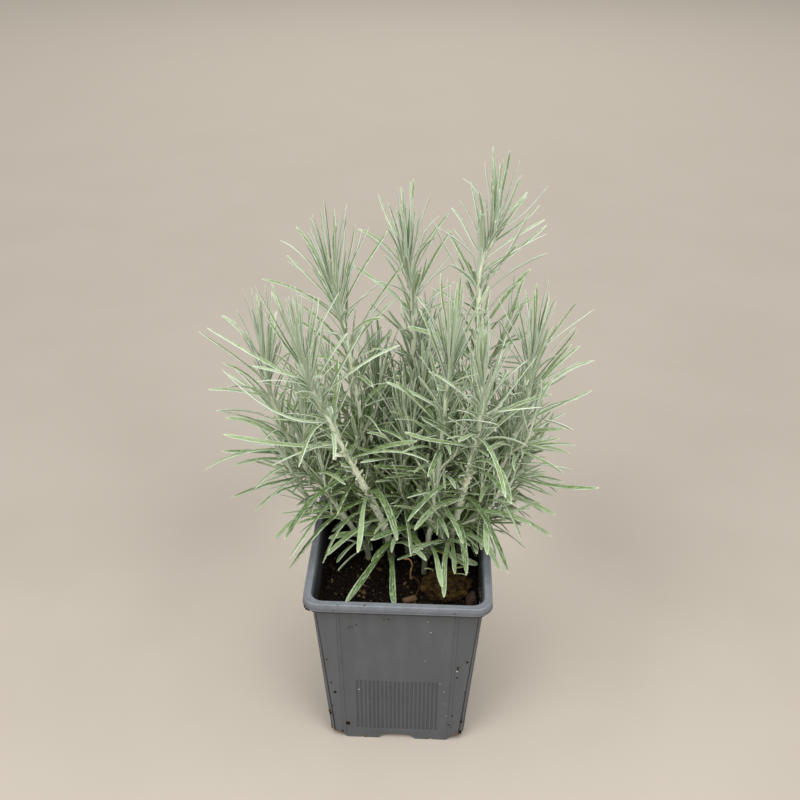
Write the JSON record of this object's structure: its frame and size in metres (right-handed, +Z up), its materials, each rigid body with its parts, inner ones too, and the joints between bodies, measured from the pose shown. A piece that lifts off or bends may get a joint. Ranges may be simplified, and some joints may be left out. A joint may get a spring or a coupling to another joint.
{
  "type": "potted curry plant",
  "caption": "Silvery curry plant with upright tufts of needle leaves, growing in a square tapered nursery pot that stands on small feet.",
  "frame": {"origin": "centre of the whole plant's box at table level, which is also the middle of the pot's footprint", "axes": "+Z up along the plant, +X to the right seen from the front, +Y away from the viewer"},
  "size_m": [0.189, 0.1386, 0.3037],
  "materials": {
    "pot_plastic": "grey moulded plastic, faintly glossy on the rim",
    "compost": null,
    "moss_clod": "crumbly lump with a skin of brown moss",
    "brown_clod": "crumbly brown lump",
    "bark": "flake of bark",
    "dry_stalk": "dry orange-brown stalk",
    "leaf": null
  },
  "bodies": {
    "root": {"pot": "pot_plastic", "compost": "compost", "clod_mossy": "moss_clod", "clod_corner": "brown_clod", "bark_chip": "bark", "dry_stalk": "dry_stalk", "stem_tall": "leaf", "stem_middle": "leaf", "stem_left": "leaf", "stem_front_left": "leaf", "stem_far_left": "leaf", "stem_centre": "leaf", "stem_front_right": "leaf", "stem_right": "leaf", "stem_inner": "leaf", "stem_back_left": "leaf", "stem_back_right": "leaf", "stem_outer_left": "leaf", "stem_outer_right": "leaf", "stem_rear": "leaf"}
  },
  "joints": []
}
